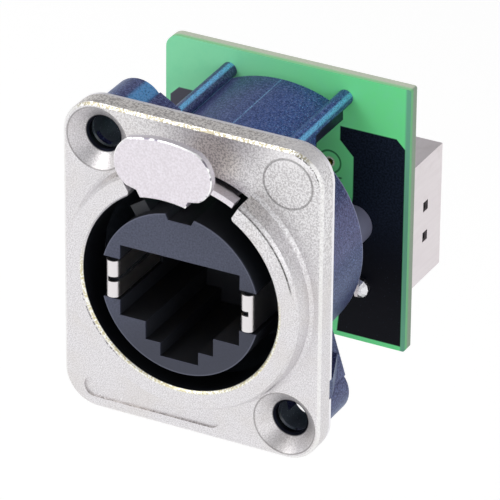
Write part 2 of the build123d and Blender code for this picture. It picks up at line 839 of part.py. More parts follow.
with BuildPart() as rear_jack_body:
    with BuildSketch(facing_front(body_back)):
        with Locations((0, (body_top + body_bottom) / 2)):
            Rectangle(2 * body_half_width, body_top - body_bottom)
    extrude(amount=body_back - board_back)
    with BuildSketch(facing_front(body_back)):
        step_end = rear_floor + rear_cavity_height + rear_step_height
        socket_opening(
            rear_cavity_width,
            rear_floor,
            rear_floor + rear_cavity_height,
            rear_step_width,
            step_end,
            rear_notch_width,
            step_end + rear_notch_height,
        )
    extrude(amount=body_back - rear_cavity_end, mode=Mode.SUBTRACT)
    with BuildSketch(facing_front(rear_bend_y + rear_slot_margin)):
        for row in contact_rows:
            with Locations((row * contact_pitch, rear_strip_z - contact_thickness / 2)):
                Rectangle(
                    contact_slot,
                    rear_floor - rear_strip_z + contact_thickness / 2,
                    align=(Align.CENTER, Align.MIN),
                )
    extrude(amount=rear_bend_y + rear_slot_margin - rear_jog_end, mode=Mode.SUBTRACT)
    with BuildSketch(facing_front(rear_jog_end)):
        with Locations((0, body_bottom + rear_pocket_floor)):
            Rectangle(
                (contact_count - 1) * tail_pitch + 2 * (contact_width + rear_pocket_margin),
                rear_pocket_top - body_bottom - rear_pocket_floor,
                align=(Align.CENTER, Align.MIN),
            )
    extrude(amount=rear_jog_end - board_back, mode=Mode.SUBTRACT)

# Solder: a small peak round each tail, a dome round each leg of the screening box
with BuildPart() as front_solder:
    with BuildSketch(facing_front(board_back + solder_height)):
        with Locations(*front_tails):
            RegularPolygon(solder_radius, small_hole_sides)
    extrude(amount=solder_height)
    chamfer(front_solder.faces().group_by(Axis.Y)[-1].edges(), solder_taper)
    with BuildSketch(facing_front(board_back + solder_height)):
        with Locations(*front_tails):
            Rectangle(contact_width, contact_thickness)
    extrude(amount=solder_height, mode=Mode.SUBTRACT)

with BuildPart() as rear_solder:
    with BuildSketch(facing_front(board_front)):
        with Locations(*rear_tails):
            RegularPolygon(solder_radius, small_hole_sides)
    extrude(amount=solder_height)
    chamfer(rear_solder.faces().group_by(Axis.Y)[0].edges(), solder_taper)
    with BuildSketch(facing_front(board_front)):
        with Locations(*rear_tails):
            Rectangle(contact_width, contact_thickness)
    extrude(amount=solder_height, mode=Mode.SUBTRACT)

with BuildPart() as leg_solder:
    with BuildSketch(facing_front(board_front)):
        with Locations(*leg_places):
            RegularPolygon(leg_solder_radius, leg_hole_sides)
    extrude(amount=leg_solder_height)
    chamfer(leg_solder.faces().group_by(Axis.Y)[0].edges(), leg_solder_taper)
    with BuildSketch(facing_front(board_front)):
        with Locations(*leg_places):
            Rectangle(shield_sheet, leg_width)
    extrude(amount=leg_solder_height, mode=Mode.SUBTRACT)

front_flange.part.label = "front_flange"
ground_plate.part.label = "ground_plate"
rear_housing.part.label = "rear_housing"
jack_insert.part.label = "jack_insert"
latch_lever.part.label = "latch_lever"
latch_pin.part.label = "latch_pin"
latch_spring.part.label = "latch_spring"
contact_carrier.part.label = "contact_carrier"
circuit_board.part.label = "circuit_board"
rear_jack_shield.part.label = "rear_jack_shield"
rear_jack_body.part.label = "rear_jack_body"
front_solder.part.label = "front_solder"
rear_solder.part.label = "rear_solder"
leg_solder.part.label = "leg_solder"

os.makedirs("parts", exist_ok=True)
export_step(front_flange.part, "parts/front_flange.step")
export_step(ground_plate.part, "parts/ground_plate.step")
export_step(rear_housing.part, "parts/rear_housing.step")
export_step(jack_insert.part, "parts/jack_insert.step")
export_step(latch_lever.part, "parts/latch_lever.step")
export_step(latch_pin.part, "parts/latch_pin.step")
export_step(latch_spring.part, "parts/latch_spring.step")
export_step(contact_carrier.part, "parts/contact_carrier.step")
export_step(circuit_board.part, "parts/circuit_board.step")
export_step(rear_jack_shield.part, "parts/rear_jack_shield.step")
export_step(rear_jack_body.part, "parts/rear_jack_body.step")
export_step(front_solder.part, "parts/front_solder.step")
export_step(rear_solder.part, "parts/rear_solder.step")
export_step(leg_solder.part, "parts/leg_solder.step")
for part in shield_springs + front_contacts + rear_contacts:
    export_step(part, f"parts/{part.label}.step")
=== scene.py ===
import json
from math import radians

import bmesh
import bpy
from mathutils import Matrix, Vector


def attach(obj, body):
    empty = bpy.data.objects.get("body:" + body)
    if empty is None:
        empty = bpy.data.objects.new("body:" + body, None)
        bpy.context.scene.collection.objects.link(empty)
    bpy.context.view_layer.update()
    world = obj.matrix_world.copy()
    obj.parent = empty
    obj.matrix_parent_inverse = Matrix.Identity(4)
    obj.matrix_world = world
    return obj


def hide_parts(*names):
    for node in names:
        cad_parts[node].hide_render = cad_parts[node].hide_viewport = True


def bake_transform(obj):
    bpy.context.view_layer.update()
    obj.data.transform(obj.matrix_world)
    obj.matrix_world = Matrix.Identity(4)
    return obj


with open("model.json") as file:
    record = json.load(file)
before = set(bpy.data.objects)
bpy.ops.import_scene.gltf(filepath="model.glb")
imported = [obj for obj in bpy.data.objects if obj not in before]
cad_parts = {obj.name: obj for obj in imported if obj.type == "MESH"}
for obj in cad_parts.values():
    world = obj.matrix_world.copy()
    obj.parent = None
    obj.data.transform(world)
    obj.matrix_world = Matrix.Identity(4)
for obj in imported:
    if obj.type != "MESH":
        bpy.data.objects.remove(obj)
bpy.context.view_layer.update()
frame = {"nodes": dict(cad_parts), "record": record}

nodes = frame["nodes"]
MM = 0.001

# Sizes of the frame that the finishes and the pads follow, in millimetres

FLANGE_FRONT = -2.3
CORNER_X, CORNER_Z = 9.6, 12.1
RING_FRONT = -4.5
OPENING_RADIUS = 9.82
SCREW_X, SCREW_Z = 9.5, -12.0
TAB_FRONT = -7.75
DRUM_BACK = 9.6
SLEEVE_RADIUS = 9.95
SCREW_BORE_RADIUS = 1.6
RAIL_X = 5.92
RAIL_RADIUS = 0.76
BOARD_FRONT, BOARD_BACK = 16.2, 17.4
TAIL_PITCH = 1.27
FRONT_TAILS_HIGH, FRONT_TAILS_LOW = 4.8, 2.26
REAR_TAILS_HIGH, REAR_TAILS_LOW = -8.4, -10.94


def place(x, y, z):
    """A point given in millimetres."""
    return Vector((x, y, z)) * MM


# Camera: the photograph's view, from above and to the right of the front

camera_data = bpy.data.cameras.new("photo_view")
camera_data.sensor_width = 36
camera_data.lens = 368.0
camera_data.clip_start = 0.01
camera = bpy.data.objects.new("photo_view", camera_data)
forward = Vector((-0.40355, 0.78357, -0.47241)).normalized()
right = forward.cross(Vector((-0.22497, 0.41549, 0.88134))).normalized()
up = right.cross(forward)
turned = Matrix((right, up, -forward)).transposed().to_4x4()
camera.matrix_world = Matrix.Translation(place(187.9, -355.7, 217.8)) @ turned
bpy.context.scene.collection.objects.link(camera)
bpy.context.scene.camera = camera


# Finishes

class Wire:
    """A number or colour that varies over a surface, for use in sums."""

    def __init__(self, nodes, socket):
        self.nodes = nodes
        self.socket = socket

    def __add__(self, other):
        return self.nodes.maths("ADD", self, other)

    def __radd__(self, other):
        return self.nodes.maths("ADD", other, self)

    def __sub__(self, other):
        return self.nodes.maths("SUBTRACT", self, other)

    def __rsub__(self, other):
        return self.nodes.maths("SUBTRACT", other, self)

    def __mul__(self, other):
        return self.nodes.maths("MULTIPLY", self, other)

    def __rmul__(self, other):
        return self.nodes.maths("MULTIPLY", other, self)

    def __truediv__(self, other):
        return self.nodes.maths("DIVIDE", self, other)

    def __abs__(self):
        return self.nodes.maths("ABSOLUTE", self)

    def least(self, other):
        return self.nodes.maths("MINIMUM", self, other)

    def most(self, other):
        return self.nodes.maths("MAXIMUM", self, other)

    def root(self):
        return self.nodes.maths("SQRT", self)

    def near(self, middle, reach):
        """1 at a value, falling to 0 at a reach to either side of it."""
        return abs(self - middle).between(reach, 0.4 * reach)

    def between(self, low, high):
        """Goes smoothly from 0 to 1 as the number goes from low to high, which may be the lesser."""
        settings = {"interpolation_type": "SMOOTHSTEP"}
        inputs = {"Value": self, "From Min": low, "From Max": high}
        return self.nodes.node("ShaderNodeMapRange", settings, inputs)


class Nodes:
    """A node tree that is built one node at a time."""

    def __init__(self, tree):
        self.tree = tree

    def node(self, kind, settings=None, inputs=None, output=0):
        """Adds a node, with its settings first and then the values or links of its sockets."""
        made = self.tree.nodes.new(kind)
        for name, value in (settings or {}).items():
            if name == "stops":
                for element, (position, colour) in zip(made.color_ramp.elements, value):
                    element.position = position
                    element.color = colour
            else:
                setattr(made, name, value)
        for name, value in (inputs or {}).items():
            self.feed(made.inputs[name], value)
        return Wire(self, made.outputs[output])

    def feed(self, socket, value):
        if isinstance(value, Wire):
            self.tree.links.new(value.socket, socket)
        else:
            socket.default_value = value

    def end(self, kind, name, value):
        """Adds the node that the tree ends in, and what it shows."""
        self.feed(self.tree.nodes.new(kind).inputs[name], value)

    def maths(self, operation, *values):
        return self.node("ShaderNodeMath", {"operation": operation}, dict(enumerate(values)))

    def blend(self, share, first, second):
        """Colours mixed by a share of the second."""
        first = first if isinstance(first, Wire) else (*first, 1)
        second = second if isinstance(second, Wire) else (*second, 1)
        return self.node("ShaderNodeMix", {"data_type": "RGBA"}, {0: share, 6: first, 7: second}, 2)


class Paint(Nodes):
    """A finish: its material, its nodes and the place on the piece in millimetres."""

    def __init__(self, name, colour, metallic, roughness):
        self.material = bpy.data.materials.new(name)
        self.material.use_nodes = True
        super().__init__(self.material.node_tree)
        self.tree.nodes.clear()
        self.shader = self.tree.nodes.new("ShaderNodeBsdfPrincipled")
        self.end("ShaderNodeOutputMaterial", "Surface", Wire(self, self.shader.outputs[0]))
        self.set("Base Color", colour)
        self.set("Metallic", metallic)
        self.set("Roughness", roughness)
        metres = self.node("ShaderNodeTexCoord", {}, {}, "Object")
        to_millimetres = {"Vector": metres, "Scale": 1 / MM}
        self.spot = self.node("ShaderNodeVectorMath", {"operation": "SCALE"}, to_millimetres)
        self.x, self.y, self.z = (self.part_of(self.spot, axis) for axis in "XYZ")
        facing = self.node("ShaderNodeNewGeometry", {}, {}, "True Normal")
        self.facing_y, self.facing_z = (self.part_of(facing, axis) for axis in "YZ")

    def set(self, name, value):
        """Sets one socket of the shader, to a value or to what varies over the piece."""
        if name == "Base Color" and not isinstance(value, Wire):
            value = (*value, 1)
        self.feed(self.shader.inputs[name], value)

    def part_of(self, vector, axis):
        return self.node("ShaderNodeSeparateXYZ", {}, {"Vector": vector}, axis)

    def noise(self, size, detail=2.0, roughness=0.5, where=None):
        """Cloudy noise with lumps of about a size in millimetres."""
        place_on_piece = where or self.spot
        inputs = {"Vector": place_on_piece, "Scale": 1 / size, "Detail": detail, "Roughness": roughness}
        return self.node("ShaderNodeTexNoise", {}, inputs, "Fac")

    def from_axis(self, x, z):
        """The distance from an axis that runs from front to back."""
        return ((self.x - x) * (self.x - x) + (self.z - z) * (self.z - z)).root()

    def stretched(self, x, y, z):
        """The place on the piece with each axis drawn out or pressed together."""
        factors = {0: self.spot, 1: (x, y, z)}
        return self.node("ShaderNodeVectorMath", {"operation": "MULTIPLY"}, factors)

    def relief(self, height, depth, strength=1.0):
        """A bump, from a height between 0 and 1 and its depth in millimetres."""
        inputs = {"Height": height, "Distance": depth * MM, "Strength": strength}
        self.set("Normal", self.node("ShaderNodeBump", {}, inputs))


def screen(red, green, blue):
    """A colour as a screen shows it, each part from 0 to 255, turned into light."""
    shown = [value / 255 for value in (red, green, blue)]
    return tuple(
        value / 12.92 if value < 0.04045 else ((value + 0.055) / 1.055) ** 2.4 for value in shown
    )


WHITE = screen(255, 255, 255)


def cast_nickel():
    """Satin nickel over the fine grain of a sand-blasted casting, with a round field on one corner,
    painted glints and highlights, and painted shade in its creases and holes.
    """
    paint = Paint("cast_nickel", screen(228, 225, 224), 1.0, 0.4)
    grain = paint.noise(0.11, 3.0, 0.7)
    fleck = paint.noise(0.19, 1.0)
    glint = paint.noise(0.1, 1.0).between(0.6, 0.72)
    cloud = paint.noise(4.0, 2.0)

    # The grain, with painted sparkle livelier towards the upper right and on top, painted shade in
    # warmer, darker flecks beside the latch and on top, painted white glints, and a painted highlight
    # along the upper right end of the face
    colour = paint.blend(grain.between(0.36, 0.66), screen(204, 201, 203), screen(243, 241, 244))
    colour = paint.blend(cloud.between(0.42, 0.75) * 0.3, colour, screen(216, 210, 204))
    upward = paint.facing_z.between(0.6, 0.9)
    lively = ((paint.x * 0.5 + paint.z).between(5.0, 15.0) * 0.38).most(upward * 0.5)
    silver = paint.blend(fleck.between(0.4, 0.58), screen(160, 156, 156), WHITE)
    colour = paint.blend(lively, colour, silver)
    warm_shade = (paint.from_axis(2.2, 12.9).between(3.6, 1.2) * 0.45).most(upward * 0.3)
    shaded_bronze = paint.blend(fleck.between(0.35, 0.6), screen(150, 138, 124), screen(232, 222, 206))
    colour = paint.blend(warm_shade, colour, shaded_bronze)
    colour = paint.blend(glint * (0.5 + 0.6 * warm_shade), colour, WHITE)
    lit_end = paint.x.between(5.0, 11.0) * paint.z.between(13.4, 14.6)
    colour = paint.blend(lit_end * 0.6, colour, screen(255, 253, 255))

    # The bevel round the face, painted as a bright highlight with olive flecks along the top, and
    # painted shade as a dark line round the upper right corner
    corner_x = (abs(paint.x) - CORNER_X).most(0.0)
    corner_z = (abs(paint.z) - CORNER_Z).most(0.0)
    outline = (corner_x * corner_x + corner_z * corner_z).root()
    bevel = outline.between(3.11, 3.15) * paint.y.between(FLANGE_FRONT + 0.26, FLANGE_FRONT + 0.22)
    along_top = paint.z.between(14.0, 15.2)
    olive = fleck.between(0.6, 0.44) * along_top
    highlit_bevel = paint.blend(olive, screen(255, 255, 252), screen(186, 178, 152))
    colour = paint.blend(bevel * (0.4 + 0.6 * along_top), colour, highlit_bevel)
    corner = corner_x.between(0.5, 0.9) * corner_z.between(0.5, 0.9)
    corner = corner * paint.x.between(0.0, 1.0) * paint.z.between(0.0, 1.0)
    edge_shade = outline.near(3.08, 0.09) * corner * fleck.between(0.6, 0.45)
    edge_shade = edge_shade * paint.y.between(FLANGE_FRONT + 0.4, FLANGE_FRONT + 0.3)
    colour = paint.blend(edge_shade * 0.85, colour, screen(58, 54, 52))

    # The ring: a painted highlight on the rim low on the opening, and painted shade as dark dashes
    # beside it and along the shoulder; the round field on the corner is drawn in the same dark colour
    from_middle = paint.from_axis(0.0, 0.0)
    front = paint.y.between(RING_FRONT + 0.4, RING_FRONT + 0.2)
    rim = from_middle.between(10.16, 10.04) * paint.z.between(3.0, -1.0) * front
    rim_highlight = paint.blend(fleck.between(0.4, 0.6), screen(222, 214, 178), screen(255, 255, 248))
    colour = paint.blend(rim, colour, rim_highlight)
    shade_dash = from_middle.near(10.24, 0.09) * front * paint.noise(0.35, 2.0).between(0.45, 0.55)
    shade_dash = shade_dash * paint.z.between(-1.5, -3.0) * paint.x.between(-5.0, -7.0)
    shoulder_shade = from_middle.near(11.42, 0.12) * front
    shoulder_shade = shoulder_shade * paint.z.between(2.2, 3.4) * paint.x.between(5.0, 6.0)
    shoulder_shade = shoulder_shade * (0.55 + 0.45 * fleck.between(0.4, 0.5))
    mark = paint.from_axis(9.55, 12.15).near(2.4, 0.13)
    mark = mark * paint.y.between(FLANGE_FRONT + 0.1, FLANGE_FRONT + 0.02)
    colour = paint.blend(shade_dash * 0.75 + shoulder_shade * 0.9 + mark * 0.45, colour, screen(44, 40, 38))

    # Painted shade: a dark line round each countersink, and the screw holes and the wall of the opening
    # made dark inside
    for side in (-1, 1):
        from_screw = paint.from_axis(SCREW_X * side, SCREW_Z * side)
        countersink_shade = from_screw.near(3.06, 0.09) * paint.y.between(FLANGE_FRONT + 0.3, FLANGE_FRONT + 0.1)
        colour = paint.blend(countersink_shade * 0.5, colour, screen(84, 78, 76))
        colour = paint.blend(from_screw.between(1.88, 1.76), colour, screen(24, 26, 36))
    opening_shade = from_middle.between(OPENING_RADIUS + 0.05, OPENING_RADIUS + 0.01)
    opening_shade = opening_shade * paint.y.between(RING_FRONT + 0.1, RING_FRONT + 0.16)
    colour = paint.blend(opening_shade, colour, screen(66, 69, 78))

    paint.set("Base Color", colour)
    paint.set("Roughness", 0.38 + 0.18 * grain - 0.16 * glint)
    paint.relief(grain * 0.6 + paint.noise(0.4, 2.0) * 0.35 - mark * 1.6, 0.05, 0.5)
    return paint.material


def sheet_steel():
    """Plain tinned sheet with the marks of rolling."""
    paint = Paint("sheet_steel", screen(244, 242, 246), 1.0, 0.3)
    rolled = paint.noise(0.3, 2.0, 0.5, paint.stretched(1.0, 1.0, 0.08))
    paint.set("Base Color", paint.blend(rolled, screen(232, 230, 236), screen(252, 251, 254)))
    paint.set("Roughness", 0.22 + 0.16 * rolled)
    return paint.material


def navy_moulding():
    """Dark blue glass-filled moulding with a fine glitter of painted glints, a parting line along the
    hood, painted highlights and reflections, and painted shade that makes the sleeve and the screw
    bores near black.
    """
    paint = Paint("navy_moulding", screen(36, 48, 96), 0.3, 0.3)
    paint.set("Specular Tint", (0.5, 0.75, 1.0, 1))
    flow = paint.noise(0.16, 3.0, 0.65, paint.stretched(1.0, 0.35, 1.0)).between(0.32, 0.68)
    glitter = paint.noise(0.11, 1.0).between(0.62, 0.74)

    # The hood is violet on the left and bluer on the right, a painted reflection; the drum is violet,
    # with a painted reflection as a paler band round its middle and painted shade lower down
    left = paint.blend(flow, screen(48, 50, 94), screen(70, 74, 122))
    right = paint.blend(flow, screen(34, 56, 116), screen(60, 88, 152))
    colour = paint.blend(paint.x.between(-4.0, 4.0), left, right)
    drum = paint.blend(paint.z.near(3.6, 3.0), screen(46, 42, 92), screen(84, 76, 116))
    drum = paint.blend(paint.z.between(-3.0, -7.5), drum, screen(50, 48, 86))
    colour = paint.blend(paint.z.between(9.3, 7.5), colour, drum)

    # The screw bosses: dark, with a painted highlight as a blue streak at the top and a painted
    # reflection making the bottom one greyer
    boss = paint.y.between(6.2, 5.6) * abs(paint.x).between(5.5, 6.5)
    high_boss = boss * paint.z.between(9.0, 11.5)
    colour = paint.blend(high_boss * 0.8, colour, screen(58, 56, 104))
    boss_highlight = high_boss * paint.x.near(-8.1, 0.95)
    colour = paint.blend(boss_highlight * 0.9, colour, screen(84, 156, 214))
    colour = paint.blend(boss * paint.z.between(-8.0, -10.0) * 0.6, colour, screen(96, 92, 128))

    # Light and dark grains, painted glints as a pale blue glitter, and a painted highlight where the
    # glitter is strongest beside the right rail
    grain = paint.noise(0.17, 2.0, 0.6)
    colour = paint.blend(grain.between(0.48, 0.64) * 0.5, colour, screen(116, 126, 166))
    colour = paint.blend(grain.between(0.5, 0.34) * 0.6, colour, screen(22, 26, 60))
    colour = paint.blend(glitter * 0.55, colour, screen(136, 168, 222))
    rail_glint_zone = paint.x.between(1.8, 4.6) * paint.z.between(9.3, 10.0)
    colour = paint.blend(rail_glint_zone * glitter * 0.8, colour, screen(120, 196, 250))

    # Behind the drum: painted shade under the hood's roof, painted light making the posts pale grey,
    # and a painted highlight as a pale edge round the drum
    past_drum = paint.y.between(DRUM_BACK + 0.02, DRUM_BACK + 0.15)
    shade_under_roof = past_drum * abs(paint.x).between(5.6, 5.8) * paint.z.between(11.5, 11.35)
    colour = paint.blend(shade_under_roof, colour, screen(30, 30, 48))
    lit_post = past_drum * abs(paint.x).between(4.9, 5.05) * paint.z.between(1.5, 1.1)
    colour = paint.blend(lit_post, colour, screen(140, 142, 168))
    from_middle = paint.from_axis(0.0, 0.0)
    rear_edge_highlight = paint.y.near(DRUM_BACK, 0.16) * from_middle.between(10.9, 11.05)
    rear_edge_highlight = rear_edge_highlight * paint.z.between(9.3, 8.3)
    colour = paint.blend(rear_edge_highlight * 0.5, colour, screen(176, 176, 205))

    # Painted highlights: on the parting line along the hood, along the foot of the left rail, and along
    # each rail
    broken = paint.noise(0.13, 2.0, 0.6).between(0.3, 0.62)
    parting = paint.x.near(0.0, 0.08) * paint.z.between(11.5, 11.9) * 0.6
    foot_highlight = paint.x.near(-5.1, 0.1) * paint.z.between(10.6, 10.8) * paint.facing_z.between(0.6, 0.8)
    colour = paint.blend((parting + foot_highlight) * broken, colour, screen(140, 196, 236))
    rail_z = 11.35 + 0.0216 * paint.y
    for side, sideways, upward in ((-1, 0.34, 0.94), (1, 0.8, 0.6)):
        towards = (paint.x - RAIL_X * side) * sideways + (paint.z - rail_z) * upward
        on_rail = paint.from_axis(RAIL_X * side, rail_z).between(0.9, 0.82)
        streak = (towards / RAIL_RADIUS).between(0.9, 1.0) * on_rail
        colour = paint.blend(streak * (0.2 + 0.75 * broken), colour, screen(120, 200, 248))

    # Painted shade: the sleeve inside the drum and the screw bores made near black, with pale specks
    dark = from_middle.between(SLEEVE_RADIUS + 0.12, SLEEVE_RADIUS + 0.01) * (1.0 - past_drum)
    for side in (-1, 1):
        from_screw = paint.from_axis(SCREW_X * side, SCREW_Z * side)
        dark = dark.most(from_screw.between(SCREW_BORE_RADIUS + 0.12, SCREW_BORE_RADIUS + 0.04))
    speck = paint.noise(0.12, 1.0).between(0.68, 0.76)
    black = paint.blend(speck * 0.7, screen(80, 86, 97), screen(196, 202, 218))

    paint.set("Base Color", paint.blend(dark, colour, black))
    paint.set("Roughness", 0.3 + 0.1 * flow + 0.2 * dark)
    paint.relief(paint.noise(0.12, 2.0) + glitter * 0.4, 0.015, 0.4)
    return paint.material


def slate_moulding():
    """Dark slate moulding, matt on the face, with painted highlights on its edges, painted shade
    towards the lower right of the face, and painted shade that makes it near black down the socket.
    """
    paint = Paint("slate_moulding", screen(84, 84, 104), 0.0, 0.5)
    front = paint.y.between(RING_FRONT + 0.3, RING_FRONT + 0.05)
    mottle = paint.noise(0.18, 3.0, 0.6)
    face = paint.blend(mottle.between(0.3, 0.7), screen(58, 63, 81), screen(82, 87, 110))
    # Painted shade: the face darker towards the lower right
    lower_right = (paint.x * 0.6 - paint.z).between(-3.0, 5.0)
    face = paint.blend(lower_right * 0.8, face, screen(46, 49, 64))
    # Painted highlight: a paler rim round the face
    rim = paint.from_axis(0.0, -0.3).between(7.8, 7.9)
    face = paint.blend(rim * 0.4, face, screen(122, 126, 146))
    # Painted shade down the socket, darkest on faces that look up or down, with a painted highlight on
    # the upward edges at the front
    deep = paint.blend(mottle, screen(24, 27, 33), screen(38, 41, 50))
    deep = paint.blend(abs(paint.facing_z) * 0.7, deep, screen(10, 11, 15))
    edge = paint.y.near(RING_FRONT, 0.12) * paint.facing_z.between(0.6, 0.9)
    deep = paint.blend(edge * 0.7, deep, screen(116, 120, 142))
    paint.set("Base Color", paint.blend(front * (1.0 - abs(paint.facing_z)), deep, face))
    paint.set("Roughness", 0.42 + 0.2 * mottle)
    paint.relief(paint.noise(0.15, 2.0), 0.015, 0.4)
    return paint.material


def latch_nickel():
    """Pale satin nickel, with a painted highlight on the rim of the finger tab, broken by darker
    patches.
    """
    paint = Paint("latch_nickel", screen(222, 216, 222), 1.0, 0.36)
    grain = paint.noise(0.2, 3.0, 0.6)
    colour = paint.blend(grain.between(0.3, 0.75), screen(218, 212, 218), screen(238, 233, 240))
    # Painted highlight: the rim of the tab made pale, broken by darker patches
    rim = paint.y.between(TAB_FRONT + 0.15, TAB_FRONT + 0.11)
    rim = rim * abs(paint.facing_y).between(0.95, 0.85)
    rim_patches = paint.noise(0.9, 2.0).between(0.34, 0.46)
    colour = paint.blend(rim, colour, paint.blend(rim_patches, screen(120, 116, 128), WHITE))
    paint.set("Base Color", colour)
    paint.set("Roughness", 0.34 + 0.14 * grain)
    paint.relief(grain, 0.02, 0.3)
    return paint.material


def bright_strip(name, colour, roughness):
    """Thin bright metal, drawn along its length."""
    paint = Paint(name, colour, 1.0, roughness)
    drawn = paint.noise(0.25, 2.0, 0.5, paint.stretched(1.0, 0.1, 1.0))
    paint.set("Roughness", roughness + 0.14 * drawn)
    paint.relief(drawn, 0.01, 0.3)
    return paint.material


def black_moulding():
    """Plain black moulding."""
    paint = Paint("black_moulding", screen(28, 28, 31), 0.0, 0.48)
    mottle = paint.noise(0.25, 3.0, 0.6)
    paint.set("Base Color", paint.blend(mottle, screen(20, 20, 23), screen(36, 36, 40)))
    paint.set("Roughness", 0.4 + 0.2 * mottle)
    paint.relief(mottle, 0.015, 0.4)
    return paint.material


def green_board():
    """Green resist over pale laminate, with a dark copper field on each side of the contacts."""
    paint = Paint("green_board", screen(96, 220, 146), 0.0, 0.5)
    paint.set("Specular IOR Level", 0.08)
    side = abs(paint.x)
    flat = abs(paint.facing_y).between(0.9, 0.95)
    mottle = paint.noise(1.2, 3.0, 0.6)
    weave = paint.noise(0.18, 2.0, 0.5)

    # The copper field: stepped on its inner edge, with its upper outer corner cut off
    lower_slant = 6.63 + 0.0959 * paint.z
    upper_slant = 12.5 - 0.9764 * paint.z
    inner_edge = lower_slant.least(6.8).least(upper_slant).most(5.4)
    field = (side - inner_edge).least(12.1 - side).least(8.75 - paint.z)
    field = field.least(19.9 - side - paint.z).least(paint.z + 12.6).between(0.0, 0.12)
    dark = paint.blend(weave.between(0.3, 0.7), screen(14, 20, 31), screen(32, 41, 58))
    # Painted shade: the copper darker towards the bottom; it is paler grey on the left and has pale
    # specks
    dark = paint.blend(paint.z.between(3.0, -6.0), dark, screen(8, 10, 20))
    dark = paint.blend(paint.x.between(-4.0, -6.0), dark, screen(92, 92, 104))
    speck = paint.noise(0.14, 1.0).between(0.72, 0.8)
    dark = paint.blend(speck * 0.5, dark, screen(60, 74, 96))

    # The front face's pads and clearance lines round the tails, which lie two pitches apart in a row
    line = 0.0
    pad = 0.0
    for from_centre, tail_z in ((3.5, FRONT_TAILS_HIGH), (2.5, FRONT_TAILS_LOW)):
        off_x = paint.maths("WRAP", paint.x - from_centre * TAIL_PITCH, TAIL_PITCH, -TAIL_PITCH)
        off_z = paint.z - tail_z
        from_tail = (off_x * off_x + off_z * off_z).root()
        front_face = side.between(5.8, 5.6) * paint.facing_y.between(-0.9, -0.95)
        line = line + from_tail.near(1.12, 0.13) * front_face
        pad = pad + from_tail.between(0.62, 0.42) * front_face
    green = paint.blend(paint.x.between(-9.0, 10.0), screen(154, 250, 194), screen(124, 248, 162))
    green = paint.blend(mottle.between(0.4, 0.8) * 0.3, green, screen(134, 242, 186))
    green = paint.blend(paint.x.between(11.9, 12.15), green, screen(120, 190, 158))
    green = paint.blend(line * 0.8, green, screen(24, 104, 60))
    green = paint.blend(pad, green, screen(226, 240, 232))

    # The sawn edges, green towards the front, with painted shade darkening the right side
    edge = paint.blend(weave, screen(170, 182, 162), screen(208, 212, 196))
    edge = paint.blend(paint.x.between(12.3, 12.45) * 0.65, edge, screen(120, 146, 128))
    near_front = paint.y.between(BOARD_FRONT + 0.7, BOARD_FRONT + 0.2)
    edge = paint.blend(near_front * 0.7, edge, screen(104, 204, 132))

    paint.set("Base Color", paint.blend(flat, edge, paint.blend(field, green, dark)))
    paint.set("Roughness", 0.5 - 0.1 * flat + 0.1 * weave)
    paint.relief(field * 0.6 + weave * 0.25, 0.03, 0.5)
    return paint.material


def tinned_sheet():
    """Tinned sheet of the rear screening box, with the marks of rolling and a faint stain."""
    paint = Paint("tinned_sheet", screen(222, 214, 216), 1.0, 0.36)
    rolled = paint.noise(0.5, 3.0, 0.55, paint.stretched(1.0, 0.1, 1.0))
    stain = paint.noise(2.5, 3.0, 0.6)
    colour = paint.blend(rolled, screen(214, 206, 209), screen(232, 226, 228))
    colour = paint.blend(stain.between(0.5, 0.8) * 0.3, colour, screen(190, 182, 180))
    paint.set("Base Color", colour)
    paint.set("Roughness", 0.3 + 0.16 * rolled)
    paint.relief(stain, 0.04, 0.2)
    return paint.material


def solder():
    """Bright solder with a slightly rippled skin."""
    paint = Paint("solder", screen(226, 226, 230), 1.0, 0.2)
    ripple = paint.noise(0.3, 2.0)
    paint.set("Roughness", 0.2 + 0.15 * ripple)
    paint.relief(ripple, 0.02, 0.3)
    return paint.material


finishes = {
    "cast_nickel": cast_nickel(),
    "sheet_steel": sheet_steel(),
    "navy_moulding": navy_moulding(),
    "slate_moulding": slate_moulding(),
    "latch_nickel": latch_nickel(),
    "pin_steel": bright_strip("pin_steel", screen(190, 190, 192), 0.22),
    "spring_steel": bright_strip("spring_steel", screen(176, 176, 178), 0.25),
    "spring_nickel": bright_strip("spring_nickel", screen(226, 222, 223), 0.24),
    "black_moulding": black_moulding(),
    "green_board": green_board(),
    "tinned_sheet": tinned_sheet(),
    "solder": solder(),
    "gold_contact": bright_strip("gold_contact", screen(226, 186, 96), 0.22),
}

for part in frame["record"]["subparts"]:
    piece = nodes[part["node"]]
    piece.data.materials.clear()
    piece.data.materials.append(finishes[part["material_slot"]])


# The latch's coiled spring, whose front leg turns with the latch and rear leg stays under the hood,
# drawn as a still copy of the CAD piece with its doubled points merged

coil_mesh = bpy.data.meshes.new("return_spring")
form = bmesh.new()
form.from_mesh(nodes["latch_spring"].data)
bmesh.ops.remove_doubles(form, verts=form.verts, dist=0.0001 * MM)
form.to_mesh(coil_mesh)
form.free()
coil_mesh.materials.append(finishes["spring_steel"])
coil = bpy.data.objects.new("return_spring", coil_mesh)
bpy.context.scene.collection.objects.link(coil)
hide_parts("latch_spring")
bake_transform(coil)


# Tinned pads round the contact tails, on the face of the board where each row is soldered

